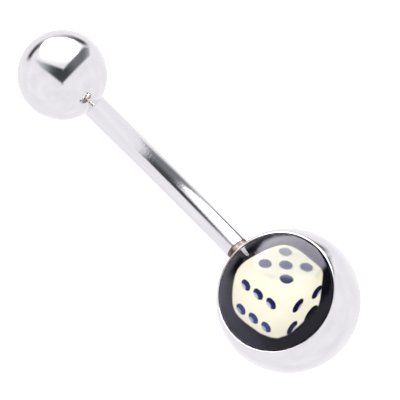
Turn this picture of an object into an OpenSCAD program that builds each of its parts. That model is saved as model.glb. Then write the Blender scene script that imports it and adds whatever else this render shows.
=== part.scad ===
// Curved barbell for a navel piercing, lying as it rests by itself on a table.
// A bent steel bar joins a small plain ball, which screws off, to a larger ball whose flat
// front holds a round printed picture of a die under a dome of clear resin.
// The belly of the bar is lower than the balls, so the piece leans over until both balls and
// the belly touch the table.
// Millimetres. X runs along the piece, Z is up, and the origin is on the table under the middle.

/* [Balls] */
// Diameter of the plain ball that screws off
top_ball_d = 5; // [5:0.5:6]
// Diameter of the ball that holds the picture
picture_ball_d = 8; // [8:0.5:10]

/* [Bar] */
// Thickness of the bent bar
bar_d = 1.4; // [1.4:0.1:1.6]
// Length of the bar from ball to ball, along its curve
bar_len = 12.25; // [8:0.25:12.5]
// Angle that the bar bends through between the balls
bend = 51; // [20:1:52]
// Thickness of the soldered neck between the bar and the picture ball
neck_d = 1.3; // [1.2:0.02:1.38]
// Length of that neck
neck_len = 0.44; // [0.2:0.02:0.44]
// Radius of the solder fillet round the foot of the neck
fillet_r = 0.12; // [0.05:0.01:0.2]

/* [Screw] */
// Diameter of the threaded stud over its crests
stud_d = 1.2; // [1:0.1:1.2]
// Length of the threaded stud
stud_len = 2.6; // [2:0.1:2.8]
// Distance from one thread crest to the next
thread_pitch = 0.25; // [0.2:0.05:0.3]
// Depth of the thread
thread_depth = 0.13; // [0.1:0.01:0.15]
// Running clearance round the stud in the ball's hole
stud_clearance = 0.03; // [0.02:0.01:0.05]
// Room left in the hole past the end of the stud
hole_room = 0.3; // [0.2:0.1:0.4]
// Depth of the cone that opens the hole's mouth
mouth_depth = 0.12; // [0.05:0.01:0.15]

/* [Picture] */
// Diameter of the recess that holds the picture
recess_d = 6.64; // [5.6:0.02:6.8]
// Depth of the recess
recess_depth = 0.45; // [0.4:0.05:0.6]
// Width of the steel lip round the recess
lip_w = 0.07; // [0.05:0.01:0.2]
// Height of the resin dome above the lip
dome_rise = 1.3; // [0.85:0.05:1.4]
// Radius of the rounded shoulder round the dome
shoulder_r = 0.3; // [0.2:0.05:0.6]
// Thickness of the picture disc
disc_t = 0.3; // [0.2:0.05:0.32]
// Thickness of each printed layer
ink_t = 0.03; // [0.01:0.01:0.03]
// Angle that the picture is turned about the bar's end
picture_turn = 2.5; // [-5:0.5:5]

/* [Hidden] */
$fn = 96;
// Gap between pieces that lie against each other
gap = 0.02;
// Overlap that makes two shapes one
bite = 0.3;

top_r = top_ball_d / 2;
picture_r = picture_ball_d / 2;
bar_r = bar_d / 2;
neck_r = neck_d / 2;

// The small ball has a flat a little wider than the bar round its hole
flat_margin = 0.05;
flat_h = sqrt(pow(top_r, 2) - pow(bar_r + flat_margin, 2));
shoulder_h = flat_h + gap;
// Distance from the picture ball's centre to where its surface meets the neck
root_h = sqrt(pow(picture_r, 2) - pow(neck_r, 2));

// The bend runs from the small ball to the soldered neck
bend_r = (bar_len - neck_len) / (bend * PI / 180);
half_bend = bend / 2;
arc_chord = 2 * bend_r * sin(half_bend);
top_arm = shoulder_h;
picture_arm = root_h + neck_len;

// Where the two ball centres lie, measured along and across the chord of the bend
centres_along = arc_chord + (top_arm + picture_arm) * cos(half_bend);
centres_across = (picture_arm - top_arm) * sin(half_bend);
centre_dist = norm([centres_along, centres_across]);
skew = atan2(centres_across, centres_along);

// Slopes of the bar's ends and the centre of the bend, from the small ball's centre with X
// along the line of centres
top_slope = -half_bend - skew;
picture_slope = half_bend - skew;
bend_x = top_arm * cos(top_slope) - bend_r * sin(top_slope);
bend_z = top_arm * sin(top_slope) + bend_r * cos(top_slope);

// Both balls touch the table, so the line of centres climbs from the small to the large
climb = asin((picture_r - top_r) / centre_dist);
total_len = top_r + centre_dist * cos(climb) + picture_r;
top_x = top_r - total_len / 2;

// The lean about that line at which the belly touches too. The lowest point of the bar's axis
// is at belly_rise * bend_z + belly_reach - bend_r * norm([belly_rise, sin(climb)]), which is 0
// on the table. Squared, that is a quadratic in belly_rise.
belly_reach = bend_x * sin(climb) + top_r - bar_r;
squares = pow(bend_r, 2) - pow(bend_z, 2);
root = sqrt(pow(bend_z * belly_reach, 2)
    + squares * (pow(belly_reach, 2) - pow(bend_r * sin(climb), 2)));
belly_rise = (bend_z * belly_reach + root) / squares;
lean = acos(min(1, belly_rise / cos(climb)));

// Screw
stud_r = stud_d / 2;
root_r = stud_r - thread_depth;
turns = floor(stud_len / thread_pitch) - 1;
thread_start = (stud_len - turns * thread_pitch) / 2;
crest_w = thread_pitch / 8;
hole_r = stud_r + stud_clearance;
hole_len = stud_len + hole_room;

// Picture layers, as heights above the picture ball's centre
recess_r = recess_d / 2;
lip_h = sqrt(pow(picture_r, 2) - pow(recess_r + lip_w, 2));
floor_h = lip_h - recess_depth;
layer_gap = gap / 2;
disc_h = floor_h + layer_gap;
face_h = disc_h + disc_t + layer_gap;
pips_h = face_h + ink_t + layer_gap;
resin_h = pips_h + ink_t + layer_gap;
disc_r = recess_r - gap;

// The dome's profile: a wide crown arc that runs into a small shoulder arc
crown_h = lip_h + dome_rise;
shoulder_drop = 0.1;
shoulder_at = [disc_r - shoulder_r, lip_h - shoulder_drop];
crown_over = crown_h - shoulder_at[1];
crown_r = (pow(shoulder_at[0], 2) + pow(crown_over, 2) - pow(shoulder_r, 2))
    / (2 * (crown_over - shoulder_r));
crown_angle = asin(shoulder_at[0] / (crown_r - shoulder_r));
arc_steps = 14;

// The die, drawn flat with its upright edge along Y; the picture is turned to suit the bar
upright_turn = 45;
// Corners of the die's outline: across, up, corner radius
OUTLINE = [
    [-2.17, 1.39, 0.5],
    [0.57, 2.70, 1.5],
    [2.75, 1.00, 0.45],
    [2.59, -0.85, 0.8],
    [0.29, -3.11, 1.5],
    [-2.36, -0.94, 1.5]
];
corner_steps = 8;
// Each face: its middle, one step across it, one step down or back, pip radius in steps, pip places
TOP_FACE = [[0.57, 1.30], [0.58, -0.42], [0.52, 0.31], 0.46,
    [[0, 0], [-1, -1], [1, 1], [-1, 1], [1, -1]]];
LEFT_FACE = [[-0.95, -0.76], [0.68, -0.50], [-0.13, -0.61], 0.38,
    [[-1, -1], [0, -1], [1, -1], [-1, 1], [0, 1], [1, 1]]];
RIGHT_FACE = [[1.65, -1.05], [0.51, 0.34], [-0.14, -0.58], 0.43,
    [[-1, -1], [1, -1], [-1, 1], [1, 1]]];
pip_steps = 20;

// Points of an arc about centre c, from angle a0 to angle a1
function arc_points(c, r, a0, a1, steps) =
    [for (i = [0:steps]) let (a = a0 + (a1 - a0) * i / steps) c + r * [cos(a), sin(a)]];

// Points that round one corner of a clockwise outline, between the corners before and after it
function rounded_corner(before, here, after, r) =
    let (
        u = (before - here) / norm(before - here),
        v = (after - here) / norm(after - here),
        half = acos(u * v) / 2,
        middle = (u + v) / norm(u + v),
        c = here + middle * r / sin(half),
        from = here + u * r / tan(half) - c,
        sweep = 180 - 2 * half,
        a0 = atan2(from[1], from[0])
    )
    arc_points(c, r, a0, a0 - sweep, corner_steps);

function corner_at(i) = [OUTLINE[i][0], OUTLINE[i][1]];

function die_outline() =
    let (n = len(OUTLINE))
    [for (i = [0:n - 1])
        each rounded_corner(
            corner_at((i + n - 1) % n), corner_at(i), corner_at((i + 1) % n), OUTLINE[i][2])];

// One pip: a circle in its face, seen as an ellipse
function pip_outline(face, place) =
    let (c = face[0] + place[0] * face[1] + place[1] * face[2])
    [for (i = [0:pip_steps - 1])
        let (a = i * 360 / pip_steps)
        c + face[3] * (cos(a) * face[1] + sin(a) * face[2])];

// Origin at the small ball's centre, X along the line of centres, and the bend below it
module lying() {
    translate([top_x, 0, top_r])
        rotate([0, -climb, 0])
            rotate([lean, 0, 0])
                children();
}

// Local Z runs from the small ball's centre down the axis of the bar's end
module at_top_ball() {
    lying()
        rotate([0, 90 - top_slope, 0])
            children();
}

// Local Z is the picture's normal, and the bar comes in along local -X
module at_picture_ball() {
    lying()
        translate([centre_dist, 0, 0])
            rotate([0, -picture_slope, 0])
                rotate([picture_turn, 0, 0])
                    children();
}

// Local Z runs from the picture ball's centre up the axis of the bar's end
module at_neck() {
    at_picture_ball()
        rotate([0, -90, 0])
            children();
}

module at_picture() {
    at_picture_ball()
        rotate([0, 0, upright_turn])
            children();
}

// The bent bar, from the small ball's flat to the neck
module bar_bend() {
    lying()
        translate([bend_x, 0, bend_z])
            rotate([90, 0, 0])
                rotate([0, 0, top_slope - 90])
                    rotate_extrude(angle = bend)
                        translate([bend_r, 0])
                            circle(r = bar_r);
}

// Soldered neck with its fillet, turned about the axis of the bar's end
module bar_neck() {
    fillet_x = neck_r + fillet_r;
    fillet_y = sqrt(pow(picture_r + fillet_r, 2) - pow(fillet_x, 2));
    tangent = [fillet_x, fillet_y] * picture_r / (picture_r + fillet_r);
    rotate_extrude()
        difference() {
            polygon([
                [0, root_h - bite],
                [tangent[0], root_h - bite],
                tangent,
                [fillet_x, fillet_y],
                [neck_r, fillet_y],
                [neck_r, picture_arm + bite],
                [0, picture_arm + bite]
            ]);
            translate([fillet_x, fillet_y])
                circle(r = fillet_r);
        }
}

// Threaded stud, its thread drawn as rings
module stud() {
    ring_points = [for (i = [0:turns - 1])
        let (y = thread_start + i * thread_pitch)
        each [
            [root_r, y],
            [stud_r, y + thread_pitch / 2 - crest_w / 2],
            [stud_r, y + thread_pitch / 2 + crest_w / 2]
        ]];
    translate([0, 0, shoulder_h])
        rotate([180, 0, 0])
            rotate_extrude()
                polygon(concat(
                    [[0, -bite], [root_r, -bite]],
                    ring_points,
                    [
                        [root_r, thread_start + turns * thread_pitch],
                        [root_r, stud_len - thread_depth],
                        [root_r - thread_depth, stud_len],
                        [0, stud_len]
                    ]));
}

// Large ball, cut flat at the lip and sunk for the picture
module picture_cup() {
    difference() {
        sphere(r = picture_r);
        translate([0, 0, lip_h])
            cylinder(r = picture_r, h = picture_r);
        translate([0, 0, floor_h])
            cylinder(r = recess_r, h = picture_r);
    }
}

// Bent bar, stud and large ball, soldered into one piece of polished steel
module post_and_cup() {
    color("gainsboro")
        union() {
            bar_bend();
            at_neck() bar_neck();
            at_top_ball() stud();
            at_picture_ball() picture_cup();
        }
}

// Small polished ball with its blind hole
module top_ball() {
    color("lightgray")
        at_top_ball()
            difference() {
                sphere(r = top_r);
                translate([0, 0, flat_h])
                    cylinder(r = top_r, h = top_r);
                translate([0, 0, flat_h - hole_len])
                    cylinder(r = hole_r, h = hole_len + bite);
                translate([0, 0, flat_h - mouth_depth])
                    cylinder(r1 = hole_r, r2 = hole_r + mouth_depth + bite, h = mouth_depth + bite);
            }
}

// Black printed disc on the floor of the recess
module picture_disc() {
    color("black")
        at_picture()
            translate([0, 0, disc_h])
                cylinder(r = disc_r, h = disc_t);
}

// Cream body of the die
module die_face() {
    color("ivory")
        at_picture()
            translate([0, 0, face_h])
                linear_extrude(height = ink_t)
                    polygon(die_outline());
}

// Dark blue pips of the three faces
module die_pips() {
    color("midnightblue")
        at_picture()
            translate([0, 0, pips_h])
                linear_extrude(height = ink_t)
                    for (face = [TOP_FACE, LEFT_FACE, RIGHT_FACE])
                        for (place = face[4])
                            polygon(pip_outline(face, place));
}

// Clear dome poured over the picture up to the lip
module resin_dome() {
    crown_arc = arc_points([0, crown_h - crown_r], crown_r, 90, 90 - crown_angle, arc_steps);
    shoulder_end = asin((resin_h - shoulder_at[1]) / shoulder_r);
    shoulder_arc = arc_points(shoulder_at, shoulder_r, 90 - crown_angle, shoulder_end, arc_steps);
    color([0.85, 0.9, 0.95, 0.3])
        at_picture()
            rotate_extrude()
                polygon(concat(
                    [[0, resin_h]],
                    crown_arc,
                    [for (i = [1:arc_steps]) shoulder_arc[i]]));
}

post_and_cup();
top_ball();
picture_disc();
die_face();
die_pips();
resin_dome();
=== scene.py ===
"""Navel barbell: a plain steel ball and a picture ball on a bent bar, lying on a pale table."""

import math

import bpy
from mathutils import Matrix, Vector


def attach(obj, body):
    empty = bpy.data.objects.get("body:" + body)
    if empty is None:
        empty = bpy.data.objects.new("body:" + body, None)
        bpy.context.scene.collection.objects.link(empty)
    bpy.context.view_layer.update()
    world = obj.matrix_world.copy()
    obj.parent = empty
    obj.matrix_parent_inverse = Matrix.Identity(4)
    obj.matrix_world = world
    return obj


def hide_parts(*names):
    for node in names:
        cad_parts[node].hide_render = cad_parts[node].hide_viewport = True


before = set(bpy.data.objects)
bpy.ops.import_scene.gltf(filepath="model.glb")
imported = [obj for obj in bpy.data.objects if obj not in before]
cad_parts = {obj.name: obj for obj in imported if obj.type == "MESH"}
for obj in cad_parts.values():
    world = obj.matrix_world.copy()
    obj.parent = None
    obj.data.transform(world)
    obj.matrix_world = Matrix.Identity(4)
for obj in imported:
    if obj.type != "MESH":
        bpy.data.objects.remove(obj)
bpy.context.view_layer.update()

MM = 0.001


def sin(degrees):
    return math.sin(math.radians(degrees))


def cos(degrees):
    return math.cos(math.radians(degrees))


# Sizes of the metal, in millimetres and degrees. The small ball has a flat where the bar meets it,
# and the neck's ends reach by OVERLAP into the bar and the picture ball
TOP_R = 2.5
PICTURE_R = 4.0
BAR_R = 0.7
FLAT_R = BAR_R + 0.05
BAR_LEN = 12.25
BEND = 51.0
NECK_R = 0.65
NECK_LEN = 0.44
FILLET_R = 0.12
GAP = 0.02
STUD_R = 0.6
STUD_LEN = 2.6
THREAD_PITCH = 0.25
THREAD_DEPTH = 0.13
CREST_SLOPE = 1.15
HOLE_R = STUD_R + 0.03
HOLE_LEN = STUD_LEN + 0.3
MOUTH_DEPTH = 0.12
OVERLAP = 0.3

# Sizes of the recess, the print in it and the resin dome over it
RECESS_R = 3.32
RECESS_DEPTH = 0.45
LIP_W = 0.07
DOME_RISE = 1.3
SHOULDER_R = 0.3
SHOULDER_DROP = 0.1
PRINT_THICK = 0.38
PRINT_SEAT = 0.01
RESIN_SINK = 0.01
RIM_DROP = 0.06
PICTURE_TURN = 2.5
UPRIGHT_TURN = 45.0

# Steps of the meshes: round an axis, along an arc, and rings per turn of the thread
AROUND = 160
AROUND_CUP = 200
AROUND_NECK = 96
AROUND_BAR = 64
AROUND_STUD = 48
BALL_STEPS = 110
SWEEP_STEPS = 90
LIP_STEPS = 12
SHOULDER_STEPS = 40
CROWN_STEPS = 60
THREAD_STEPS = 10
# Edges that turn by more than this stay sharp, in degrees
SHARP_ANGLE = 35

# Heights from a ball's centre along its own axis
flat_h = math.sqrt(TOP_R**2 - FLAT_R**2)
shoulder_h = flat_h + GAP
neck_foot_h = math.sqrt(PICTURE_R**2 - NECK_R**2)
bar_end_h = neck_foot_h + NECK_LEN

# The bent bar seen from the small ball's centre, with X along the line of centres
bend_r = (BAR_LEN - NECK_LEN) / math.radians(BEND)
along = 2 * bend_r * sin(BEND / 2) + (shoulder_h + bar_end_h) * cos(BEND / 2)
across = (bar_end_h - shoulder_h) * sin(BEND / 2)
centre_dist = math.hypot(along, across)
skew = math.degrees(math.atan2(across, along))
top_slope = -BEND / 2 - skew
picture_slope = BEND / 2 - skew
bend_x = shoulder_h * cos(top_slope) - bend_r * sin(top_slope)
bend_z = shoulder_h * sin(top_slope) + bend_r * cos(top_slope)

# At rest both balls touch the table, and the bar leans until its belly touches too. That gives a
# quadratic, and belly_rise is its larger root
climb = math.degrees(math.asin((PICTURE_R - TOP_R) / centre_dist))
total_len = TOP_R + centre_dist * cos(climb) + PICTURE_R
belly_reach = bend_x * sin(climb) + TOP_R - BAR_R
squares = bend_r**2 - bend_z**2
root = (bend_z * belly_reach) ** 2 + squares * (belly_reach**2 - (bend_r * sin(climb)) ** 2)
belly_rise = (bend_z * belly_reach + math.sqrt(root)) / squares
lean = math.degrees(math.acos(min(1, belly_rise / cos(climb))))

# Heights above the picture ball's centre
lip_h = math.sqrt(PICTURE_R**2 - (RECESS_R + LIP_W) ** 2)
floor_h = lip_h - RECESS_DEPTH
crown_h = lip_h + DOME_RISE


def place(centre, *turns):
    """Frame of a piece: its centre in millimetres, then its turns as (degrees, axis)."""
    m = Matrix.Translation(Vector(centre) * MM)
    for degrees, axis in turns:
        m = m @ Matrix.Rotation(math.radians(degrees), 4, axis)
    return m


# The whole piece: origin at the small ball's centre, X to the picture ball's, the bend below
lying = place((TOP_R - total_len / 2, 0, TOP_R), (-climb, "Y"), (lean, "X"))
# Z runs from the small ball down the bar, up from the picture, and from the picture ball up the bar
at_top_ball = lying @ place((0, 0, 0), (90 - top_slope, "Y"))
at_cup = lying @ place((centre_dist, 0, 0), (-picture_slope, "Y"), (PICTURE_TURN, "X"))
at_picture = at_cup @ place((0, 0, 0), (UPRIGHT_TURN, "Z"))
at_neck = at_cup @ place((0, 0, 0), (-90, "Y"))


# Camera, high up on the side that the picture faces, with a long lens
IMAGE_SIDE = 400
PX_PER_MM = 18.2
PICTURE_BALL_PX = (288.45, 300.7)
CHORD_DROP = 44.96
TILT_BACK = -1.3
TILT_SIDE = 1.5
CAMERA_FAR = 350.0
SENSOR_SIDE = 36

turned = lying.to_3x3()
toward_camera = turned @ Vector((-sin(TILT_BACK), sin(TILT_SIDE), cos(TILT_BACK))).normalized()
chord = turned @ Vector((1, 0, 0))
picture_centre = at_cup.translation / MM
chord_seen = (chord - toward_camera * chord.dot(toward_camera)).normalized()
chord_side = toward_camera.cross(chord_seen)
image_right = chord_seen * cos(CHORD_DROP) + chord_side * sin(CHORD_DROP)
image_up = chord_side * cos(CHORD_DROP) - chord_seen * sin(CHORD_DROP)


def add_camera():
    half = IMAGE_SIDE / 2
    aim = (
        picture_centre
        - image_right * (PICTURE_BALL_PX[0] - half) / PX_PER_MM
        + image_up * (PICTURE_BALL_PX[1] - half) / PX_PER_MM
    )
    data = bpy.data.cameras.new("camera")
    data.sensor_width = SENSOR_SIDE
    data.lens = SENSOR_SIDE * CAMERA_FAR * PX_PER_MM / IMAGE_SIDE
    data.clip_start = 0.01
    data.clip_end = 10
    camera = bpy.data.objects.new("camera", data)
    bpy.context.scene.collection.objects.link(camera)
    turn = Matrix((image_right, image_up, toward_camera)).transposed().to_4x4()
    camera.matrix_world = Matrix.Translation((aim + toward_camera * CAMERA_FAR) * MM) @ turn
    bpy.context.scene.camera = camera


class Shade:
    """Socket of a node tree. Sums and products of shades add Math nodes."""

    def __init__(self, tree, socket=None):
        self.tree = tree
        self.socket = socket

    def add(self, kind, settings=(), inputs=(), output=0):
        """Adds a node: its type, its settings, then values or shades for its sockets."""
        made = self.tree.nodes.new(kind)
        for name, value in dict(settings).items():
            if name == "stops":
                ramp = made.color_ramp
                while len(ramp.elements) < len(value):
                    ramp.elements.new(1)
                for stop, (at, colour) in zip(ramp.elements, value):
                    stop.position = at
                    stop.color = colour
            else:
                setattr(made, name, value)
        pairs = inputs.items() if isinstance(inputs, dict) else enumerate(inputs)
        for name, value in pairs:
            if isinstance(value, Shade):
                self.tree.links.new(value.socket, made.inputs[name])
            elif value is not None:
                made.inputs[name].default_value = value
        return Shade(self.tree, made.outputs[output] if len(made.outputs) else None)

    def maths(self, operation, *others):
        return self.add("ShaderNodeMath", {"operation": operation}, [self, *others])

    def __add__(self, other):
        return self.maths("ADD", other)

    def __mul__(self, other):
        return self.maths("MULTIPLY", other)

    def __sub__(self, other):
        return self.maths("SUBTRACT", other)

    def __truediv__(self, other):
        return self.maths("DIVIDE", other)

    def __rsub__(self, other):
        return self.add("ShaderNodeMath", {"operation": "SUBTRACT"}, [other, self])

    def __rtruediv__(self, other):
        return self.add("ShaderNodeMath", {"operation": "DIVIDE"}, [other, self])

    def __abs__(self):
        return self.maths("ABSOLUTE")

    __radd__ = __add__
    __rmul__ = __mul__

    def least(self, other):
        return self.maths("MINIMUM", other)

    def most(self, other):
        return self.maths("MAXIMUM", other)

    def step(self, start, end):
        """0 before start and 1 past end, smooth in between."""
        return self.add(
            "ShaderNodeMapRange",
            {"interpolation_type": "SMOOTHSTEP"},
            {"Value": self, "From Min": start, "From Max": end},
        )

    def mix(self, first, second):
        """Colour that goes from first to second as this shade goes from 0 to 1."""
        return self.add(
            "ShaderNodeMix",
            {"data_type": "RGBA"},
            {"Factor": self, "A": first, "B": second},
            "Result",
        )

    def vector(self, operation, other, output="Vector"):
        return self.add("ShaderNodeVectorMath", {"operation": operation}, [self, other], output)

    def dot(self, direction):
        return self.vector("DOT_PRODUCT", tuple(direction), "Value")

    def clouds(self, scale, detail=2.0, seed=None):
        """Soft noise from 0 to 1 at this place. A seed gives a pattern of its own."""
        inputs = {"Vector": self, "Scale": scale, "Detail": detail}
        if seed is None:
            return self.add("ShaderNodeTexNoise", {}, inputs, "Fac")
        inputs["W"] = seed
        return self.add("ShaderNodeTexNoise", {"noise_dimensions": "4D"}, inputs, "Fac")


def inside(x, y, corners):
    """Distance inside a convex outline, positive within it."""
    distance = None
    n = len(corners)
    turn = sum(
        corners[i][0] * corners[(i + 1) % n][1] - corners[(i + 1) % n][0] * corners[i][1]
        for i in range(n)
    )
    for i in range(n):
        (x0, y0), (x1, y1) = corners[i], corners[(i + 1) % n]
        length = math.hypot(x1 - x0, y1 - y0) * (1 if turn > 0 else -1)
        a, b = -(y1 - y0) / length, (x1 - x0) / length
        side = x * a + y * b - (a * x0 + b * y0)
        distance = side if distance is None else distance.least(side)
    return distance


# The tent round the table, mapped by where a mirror ball shows each direction: right and up from
# the ball's middle, with the ball's edge at BALL_EDGE
BALL_EDGE = 100
WINDOW = [
    (17.5, 34), (0, 33), (-31, 36.5), (-45, 43), (-46.5, 52), (-43.5, 64), (-36, 73), (-24, 78),
    (-8, 79.5), (7, 79.5), (24, 74.5), (38, 63), (32.5, 48.5),
]
GAP_LEFT = [(2, -20.5), (3.5, 11.5), (-56, 31), (-47, 17.5)]
GAP_RIGHT = [(-0.5, -21.5), (-4, 3), (47, 61), (58, 60), (60, 43)]
# How bright each part is, with white at 1. Folds, edge and glow change the tent by this much
WINDOW_LIGHT = 9.7
TENT_LIGHT = 0.95
FOLD_LIGHT = 0.25
EDGE_LIGHT = 0.08
GLOW_LIGHT = 0.3
LENS_LIGHT = 0.065
FOLD_SCALE = 2.2
# The hoop over the window: radius, how it draws in toward the left, half width, and how much it
# darkens, at the top and more at its sides
HOOP_R = 84
HOOP_SHIFT = 0.04
HOOP_W = 7
HOOP_FAINT = 0.28
HOOP_DARK = 0.64
TENT_TINT = (0.985, 0.965, 1, 1)
GAP_TINT = (0.9, 0.94, 1, 1)


def add_tent():
    world = bpy.data.worlds.new("tent")
    bpy.context.scene.world = world
    world.use_nodes = True
    tree = world.node_tree
    tree.nodes.clear()
    start = Shade(tree)
    direction = start.add("ShaderNodeTexCoord", output="Generated")
    folds = direction.clouds(FOLD_SCALE)
    facing = direction.vector("ADD", tuple(toward_camera))
    facing = start.add("ShaderNodeVectorMath", {"operation": "NORMALIZE"}, [facing])
    x = facing.dot(image_right) * BALL_EDGE
    y = facing.dot(image_up) * BALL_EDGE
    radius = (x * x + y * y).maths("SQRT")
    angle = y.maths("ARCTAN2", x)

    in_window = inside(x, y, WINDOW)
    window = in_window.step(-3.5, 2.5)
    gap = inside(x, y, GAP_LEFT).step(-4, 3).most(inside(x, y, GAP_RIGHT).step(-3.5, 3))
    # The gap is darkest in the middle, where the lens is, and both its arms fade out
    gap_light = LENS_LIGHT + radius.step(8, 42) * 0.125 + x.step(-18, -58) * 0.5
    gap_light = gap_light + x.step(44, 64) * 0.3
    # A dark hoop over the window, faint at the top
    hoop = abs(radius - HOOP_R - x.least(0) * HOOP_SHIFT).step(HOOP_W, 1)
    hoop_sides = angle.step(1.75, 1.1).most(angle.step(1.9, 2.35))
    hoop = hoop * (HOOP_FAINT + hoop_sides * HOOP_DARK)
    hoop = hoop * angle.step(0.77, 1.03) * angle.step(2.82, 2.6)
    light = TENT_LIGHT - (folds - 0.5) * FOLD_LIGHT + radius.step(93, 101) * EDGE_LIGHT
    # The tent glows below the window
    light = light + in_window.step(-14, -1) * y.step(56, 34) * GLOW_LIGHT
    light = light * (1 - hoop)
    light = light + gap * (gap_light - light)
    light = light + window * (WINDOW_LIGHT - light)
    tint = gap.mix(TENT_TINT, GAP_TINT)
    shown = start.add("ShaderNodeBackground", {}, {"Color": tint, "Strength": light})
    start.add("ShaderNodeOutputWorld", {}, {"Surface": shown})


def material(name):
    made = bpy.data.materials.new(name)
    made.use_nodes = True
    made.node_tree.nodes.clear()
    return made, Shade(made.node_tree)


def finish_material(start, inputs):
    shader = start.add("ShaderNodeBsdfPrincipled", {}, inputs)
    start.add("ShaderNodeOutputMaterial", {}, {"Surface": shader})


# Steel, with the heat's reach in millimetres from the foot of the neck
STEEL = (0.83, 0.82, 0.84, 1)
BRIGHT_STEEL = (0.89, 0.885, 0.895, 1)
BURNT_STEEL = (0.26, 0.22, 0.2, 1)
HAZE_ROUGHNESS = 0.06
HEAT_ROUGHNESS = 0.5
HEAT_FULL = 2.1
HEAT_END = 3.3
SCRATCH_DEPTH = 5e-6
GRIT_DEPTH = 2e-5
HEAT_COLOURS = [
    (0.38, (0.03, 0.022, 0.02, 1)),
    (0.5, (0.10, 0.072, 0.06, 1)),
    (0.64, (0.30, 0.25, 0.23, 1)),
]


def polished_steel(name, seed, grain, dullness=0.03, heated=False):
    """Mirror steel. Grain is the depth of the fine scratches that polishing leaves, and a heated
    piece is dull and brown round the neck, where it was soldered."""
    made, start = material(name)
    spot = start.add("ShaderNodeTexCoord", output="Object")
    haze = spot.clouds(900.0, 3.0, seed)
    scratches = spot.clouds(9000.0, 2.0, seed + 7)
    bump = start.add(
        "ShaderNodeBump", {}, {"Strength": grain, "Distance": SCRATCH_DEPTH, "Height": scratches}
    )
    colour = haze.mix(STEEL, BRIGHT_STEEL)
    roughness = dullness + haze * HAZE_ROUGHNESS
    if heated:
        reach = spot.vector("SUBTRACT", tuple(at_neck @ Vector((0, 0, PICTURE_R * MM))))
        reach = reach.vector("LENGTH", None, "Value") / MM
        heat = (reach + (haze - 0.5) * 0.6).step(HEAT_END, HEAT_FULL)
        colour = heat.mix(colour, BURNT_STEEL)
        roughness = roughness + heat * HEAT_ROUGHNESS
    finish_material(start, {
        "Base Color": colour, "Metallic": 1.0, "Roughness": roughness, "Normal": bump,
    })
    return made


def heated_steel():
    """The soldered neck: dull, in patches from nearly black to pale brown."""
    made, start = material("heated_steel")
    spot = start.add("ShaderNodeTexCoord", output="Object")
    grit = spot.clouds(2500.0, 4.0)
    bump = start.add(
        "ShaderNodeBump", {}, {"Strength": 0.6, "Distance": GRIT_DEPTH, "Height": grit}
    )
    tint = start.add("ShaderNodeValToRGB", {"stops": HEAT_COLOURS}, [grit], "Color")
    finish_material(start, {
        "Base Color": tint, "Metallic": 0.25, "Roughness": 0.35 + grit * 0.2, "Normal": bump,
    })
    return made


# Corners of the die's outline, clockwise: across, up, corner radius
OUTLINE = [
    (-2.17, 1.39, 0.5),
    (0.57, 2.70, 1.5),
    (2.62, 1.04, 0.45),
    (2.46, -0.84, 0.8),
    (0.27, -2.97, 1.5),
    (-2.36, -0.94, 1.5),
]
# Faces of the die: middle, step across, step down, pip radius in steps, places across, and where
# a pip is light, in steps from its middle. The top face has no light parts, and a fifth pip in
# its middle
FACES = [
    ((0.57, 1.30), (0.58, -0.42), (0.52, 0.31), 0.46, 2, None),
    ((-0.95, -0.76), (0.68, -0.50), (-0.13, -0.61), 0.38, 3, (-0.2, 0.3)),
    ((1.65, -1.05), (0.51, 0.34), (-0.14, -0.58), 0.54, 2, (0.48, 0.42)),
]
CREAM = (0.755, 0.73, 0.57, 1)
# Painted shade: a darker cream for the top face under the window's reflection
PAINTED_SHADE_CREAM = (0.5, 0.51, 0.37, 1)
# Painted shade: the part of the top face where the window's reflection in the dome falls, painted a
# darker cream so that it does not wash out
PAINTED_SHADE_OUTLINE = [
    (2.3, 0.62), (-0.25, 0.62), (-0.98, 1.16), (-0.92, 1.7), (-0.1, 2.6), (0.8, 3.0), (1.9, 3.0),
    (3.2, 1.75),
]
GROUND = (0.001, 0.001, 0.003, 1)
# Painted reflection: the greyer ground where a sheen shows toward the lower left
PAINTED_SHEEN_GROUND = (0.028, 0.028, 0.042, 1)
NAVY = (0.007, 0.01, 0.06, 1)
FADED_NAVY = (0.025, 0.04, 0.14, 1)
FRONT_INK = (0.035, 0.04, 0.09, 1)
# Painted reflection: grey ink for the back pip, which glare washes out
PAINTED_GLARE_INK = (0.11, 0.12, 0.13, 1)
INK_BLACK = (0.003, 0.005, 0.03, 1)
PALE_BLUE = (0.28, 0.33, 0.5, 1)
LAVENDER = (0.42, 0.42, 0.52, 1)
OUTLINE_FUZZ = 0.06
OUTLINE_SOFT = 0.05
PIP_FUZZ = 0.08
EDGE_PIP_GROWTH = 0.15


def die_shape(x, y):
    """Distance outside the die's outline, with its corners rounded."""
    shape = None
    corners = list(zip(OUTLINE[-1:] + OUTLINE[:-1], OUTLINE, OUTLINE[1:] + OUTLINE[:1]))
    for before, here, after in corners:
        dx, dy = after[0] - here[0], after[1] - here[1]
        length = math.hypot(dx, dy)
        side = (y * dx - x * dy) / length - (here[1] * dx - here[0] * dy) / length
        if shape is None:
            shape = side
        else:
            turn = math.atan2(here[1] - before[1], here[0] - before[0]) - math.atan2(dy, dx)
            rounding = 6 * here[2] * (1 - math.cos((turn % (2 * math.pi)) / 2))
            shape = shape.add(
                "ShaderNodeMath", {"operation": "SMOOTH_MAX"}, [shape, side, rounding]
            )
    return shape


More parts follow.
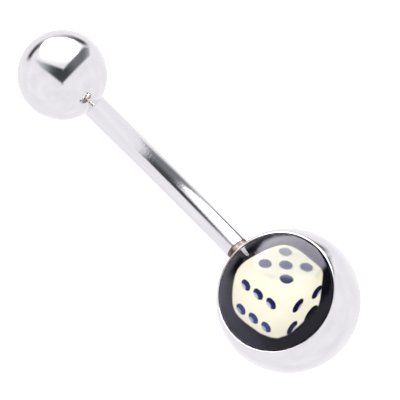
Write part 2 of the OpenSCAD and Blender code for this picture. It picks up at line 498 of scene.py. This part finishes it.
def printed_picture():
    made, start = material("printed_picture")
    spot = start.add("ShaderNodeTexCoord", output="Object")
    spot = spot.vector("SUBTRACT", tuple(at_picture.translation))
    x = spot.dot(at_picture.col[0].xyz) / MM
    y = spot.dot(at_picture.col[1].xyz) / MM

    dots = spot.clouds(5000.0)
    die = (die_shape(x, y) + (dots - 0.5) * OUTLINE_FUZZ).step(OUTLINE_SOFT, -OUTLINE_SOFT)
    # Painted shade where the window's reflection in the dome falls on the top face
    painted_shade = inside(x, y, PAINTED_SHADE_OUTLINE).step(-0.12, 0.24)
    # Painted reflection: the black ground turns greyer toward the lower left, a painted sheen
    ground_and_sheen = (x * 2 + y).step(-2.5, -6).mix(GROUND, PAINTED_SHEEN_GROUND)
    colour = die.mix(ground_and_sheen, painted_shade.mix(CREAM, PAINTED_SHADE_CREAM))
    for middle, across, down, radius, places, light_at in FACES:
        turn = across[0] * down[1] - across[1] * down[0]
        s = ((x - middle[0]) * down[1] - (y - middle[1]) * down[0]) / turn
        t = ((y - middle[1]) * across[0] - (x - middle[0]) * across[1]) / turn
        nearest = s.maths("SIGN") if places == 2 else s.maths("ROUND").least(1).most(-1)
        ds = s - nearest
        dt = t - t.maths("SIGN")
        reach = (ds * ds + dt * dt).maths("SQRT")
        if light_at is None:
            reach = reach.least((s * s + t * t).maths("SQRT"))
            # The pip at the back is painted faint grey, a painted reflection that washes it out,
            # and the one in front is a little paler than the row
            ink = (s - t).step(0.8, 1.4).mix(NAVY, FRONT_INK)
            ink = (t - s).step(0.8, 1.4).mix(ink, PAINTED_GLARE_INK)
        else:
            ls, lt = ds - light_at[0], dt - light_at[1]
            lit = (ls * ls + lt * lt).maths("SQRT").step(radius * 0.85, radius * 0.45)
            low = t.step(-0.5, 0.5)
            if places == 2:
                # The pip nearest the edge is all black and a little larger
                edge = (s + t).step(0.8, 1.2)
                lit = lit * (1 - edge)
                reach = reach - edge * EDGE_PIP_GROWTH
                ink = lit.mix(edge.mix(INK_BLACK, GROUND), LAVENDER)
            else:
                ink = lit.mix(low.mix(NAVY, FADED_NAVY), low.mix(LAVENDER, PALE_BLUE))
        pip = (reach + (dots - 0.5) * PIP_FUZZ).step(radius * 1.1, radius * 0.9)
        colour = pip.mix(colour, ink)
    finish_material(start, {"Base Color": colour, "Roughness": 0.5, "Specular IOR Level": 0.0})
    return made


def clear_resin():
    made, start = material("clear_resin")
    spot = start.add("ShaderNodeTexCoord", output="Object")
    haze = spot.clouds(600.0)
    finish_material(start, {
        "Base Color": (0.99, 0.99, 1, 1),
        "Roughness": 0.005 + haze * 0.01,
        "IOR": 1.5,
        "Specular Tint": (0.62, 0.61, 0.7, 1),
        "Transmission Weight": 1.0,
    })
    return made


def skin(name, rings, frame_at, look, body):
    """Closes rings of points, in millimetres, into a smooth mesh. A ring of one point is a tip."""
    points, faces, starts = [], [], []
    for ring in rings:
        starts.append(len(points))
        points.extend(frame_at @ (Vector(p) * MM) for p in ring)
    for k in range(len(rings) - 1):
        a, b = starts[k], starts[k + 1]
        na, nb = len(rings[k]), len(rings[k + 1])
        for i in range(max(na, nb)):
            j = (i + 1) % max(na, nb)
            if na == 1:
                faces.append((a, b + j, b + i))
            elif nb == 1:
                faces.append((a + i, a + j, b))
            else:
                faces.append((a + i, a + j, b + j, b + i))
    mesh = bpy.data.meshes.new(name)
    mesh.from_pydata(points, [], faces)
    mesh.shade_smooth()
    mesh.set_sharp_from_angle(angle=math.radians(SHARP_ANGLE))
    mesh.materials.append(look)
    made = bpy.data.objects.new(name, mesh)
    bpy.context.scene.collection.objects.link(made)
    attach(made, body)
    return made


def lathe(name, profile, frame_at, look, body, steps=AROUND):
    """Turns a profile of (radius, height) about Z. It runs from the low tip round the outside to
    the high tip."""
    rings = []
    for r, h in profile:
        if r == 0:
            rings.append([(0, 0, h)])
        else:
            rings.append([
                (r * math.cos(a), r * math.sin(a), h)
                for a in (2 * math.pi * i / steps for i in range(steps))
            ])
    return skin(name, rings, frame_at, look, body)


def arc(centre, r, start, end, steps):
    return [
        (centre[0] + r * cos(a), centre[1] + r * sin(a))
        for a in (start + (end - start) * i / steps for i in range(steps + 1))
    ]


def ball_arc(r, top_edge, steps):
    """Profile of a ball, from its low pole up to where it is top_edge from the axis."""
    end = math.degrees(math.acos(top_edge / r))
    return [(0, -r)] + arc((0, 0), r, -90, end, steps)[1:]


def add_top_ball(look):
    profile = ball_arc(TOP_R, FLAT_R, BALL_STEPS)
    profile += [
        (HOLE_R + MOUTH_DEPTH, flat_h),
        (HOLE_R, flat_h - MOUTH_DEPTH),
        (HOLE_R, flat_h - HOLE_LEN),
        (0, flat_h - HOLE_LEN),
    ]
    ball = lathe("small_ball", profile, at_top_ball, look, "screw_ball")
    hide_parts("top_ball")


def add_cup(look):
    lip_round = LIP_W / 2
    profile = ball_arc(PICTURE_R, RECESS_R + LIP_W, BALL_STEPS)[:-1]
    profile += arc((RECESS_R + lip_round, lip_h - lip_round), lip_round, 30, 180, LIP_STEPS)
    profile += [(RECESS_R, floor_h), (0, floor_h)]
    cup = lathe("picture_cup", profile, at_cup, look, "post", steps=AROUND_CUP)
    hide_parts("post_and_cup")


def add_bar(look):
    rings = []
    for k in range(SWEEP_STEPS + 1):
        a = top_slope + BEND * k / SWEEP_STEPS
        out = Vector((sin(a), 0, -cos(a)))
        middle = Vector((bend_x, 0, bend_z)) + out * bend_r
        side = Vector((0, 1, 0))
        ring = [
            middle + out * BAR_R * cos(t) + side * BAR_R * sin(t)
            for t in (360 * i / AROUND_BAR for i in range(AROUND_BAR))
        ]
        if k == 0:
            rings.append([middle])
        rings.append(ring)
        if k == SWEEP_STEPS:
            rings.append([middle])
    bar = skin("bent_bar", rings, lying, look, "post")


def add_neck(look):
    fillet_x = NECK_R + FILLET_R
    fillet_y = math.sqrt((PICTURE_R + FILLET_R) ** 2 - fillet_x**2)
    down = math.degrees(math.atan2(-fillet_y, -fillet_x))
    profile = [(0, neck_foot_h - OVERLAP), (fillet_x * 0.95, neck_foot_h - OVERLAP)]
    profile += arc((fillet_x, fillet_y), FILLET_R, 360 + down, 180, LIP_STEPS)
    profile += [(NECK_R, bar_end_h + OVERLAP), (0, bar_end_h + OVERLAP)]
    neck = lathe("brazed_neck", profile, at_neck, look, "post", steps=AROUND_NECK)


def add_stud(look):
    core_r = STUD_R - THREAD_DEPTH
    tip_r = core_r - THREAD_DEPTH
    tip = shoulder_h - STUD_LEN
    count = round(STUD_LEN / THREAD_PITCH * THREAD_STEPS)
    turns = [360 * i / AROUND_STUD for i in range(AROUND_STUD)]
    rings = [[(0, 0, tip)], [(tip_r * cos(t), tip_r * sin(t), tip) for t in turns]]
    for k in range(count + 1):
        h = tip + THREAD_DEPTH + (STUD_LEN - THREAD_DEPTH) * k / count
        # The thread runs out at both ends of the stud
        fade = min(1, (h - tip) / THREAD_PITCH - 0.5, (shoulder_h - h) / THREAD_PITCH)
        ring = []
        for t in turns:
            phase = (h / THREAD_PITCH + t / 360) % 1
            crest = min(1, CREST_SLOPE * (1 - abs(2 * phase - 1)))
            r = core_r + THREAD_DEPTH * crest * max(0, fade)
            ring.append((r * cos(t), r * sin(t), h))
        rings.append(ring)
    rings.append([(0, 0, shoulder_h)])
    stud = skin("threaded_stud", rings, at_top_ball, look, "post")


def add_picture(look):
    base = floor_h + PRINT_SEAT
    top = base + PRINT_THICK
    edge = RECESS_R - GAP
    profile = [(0, base), (edge, base), (edge, top), (0, top)]
    disc = lathe("printed_disc", profile, at_picture, look, "post")
    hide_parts("picture_disc", "die_face", "die_pips")


def add_dome(look):
    seat = RECESS_R + GAP
    base = floor_h - RESIN_SINK
    shoulder = (RECESS_R - GAP - SHOULDER_R, lip_h - SHOULDER_DROP)
    over = crown_h - shoulder[1]
    crown_r = (shoulder[0] ** 2 + over**2 - SHOULDER_R**2) / (2 * (over - SHOULDER_R))
    crown_angle = math.degrees(math.asin(shoulder[0] / (crown_r - SHOULDER_R)))
    join = 90 - crown_angle
    profile = [(0, base), (seat, base), (seat, lip_h - RIM_DROP)]
    profile += arc(shoulder, SHOULDER_R, 8, join, SHOULDER_STEPS)
    profile += arc((0, crown_h - crown_r), crown_r, join, 90, CROWN_STEPS)[1:-1]
    profile += [(0, crown_h)]
    dome = lathe("clear_dome", profile, at_picture, look, "post", steps=AROUND_CUP)
    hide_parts("resin_dome")


def add_table():
    made, start = material("pale_table")
    spot = start.add("ShaderNodeTexCoord", output="Object")
    tone = spot.clouds(12.0)
    finish_material(start, {
        "Base Color": tone.mix((0.9, 0.9, 0.9, 1), (0.93, 0.93, 0.93, 1)),
        "Roughness": 0.6,
        "Emission Color": (1, 1, 1, 1),
        "Emission Strength": 0.8,
    })
    bpy.ops.mesh.primitive_plane_add(size=2)
    table = bpy.context.object
    table.name = "table"
    table.data.materials.append(made)
    table.visible_glossy = False
    table.visible_transmission = False


steel = polished_steel("polished_steel", 1.0, 0.15)
cup_steel = polished_steel("cup_steel", 3.0, 0.15, heated=True)
bar_steel = polished_steel("bar_steel", 2.0, 0.9, dullness=0.09)
add_top_ball(polished_steel("ball_steel", 4.0, 0.15))
add_cup(cup_steel)
add_bar(bar_steel)
add_neck(heated_steel())
add_stud(steel)
add_picture(printed_picture())
add_dome(clear_resin())
add_table()
add_tent()
add_camera()
bpy.context.scene.view_settings.view_transform = "Standard"
